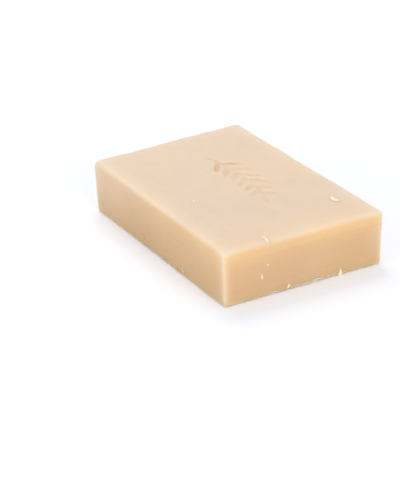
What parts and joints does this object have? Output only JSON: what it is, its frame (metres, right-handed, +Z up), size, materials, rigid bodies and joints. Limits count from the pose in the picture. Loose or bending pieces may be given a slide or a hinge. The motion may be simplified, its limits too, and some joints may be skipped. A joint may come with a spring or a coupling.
{
  "type": "bar of soap",
  "caption": "Hand-cut bar of soap: a flat rectangular block with softened edges, slightly out of square, with a leaf sprig pressed into its top.",
  "frame": {"origin": "centre of the flat base, halfway along the bar's overall length and width", "axes": "+X along the bar's length, +Y across its width towards the longer back side, +Z up out of the face with the pressed sprig"},
  "size_m": [0.0918, 0.0624, 0.02],
  "materials": {
    "soap": "waxy satin"
  },
  "bodies": {
    "root": {"soap_bar": "soap"}
  },
  "joints": []
}
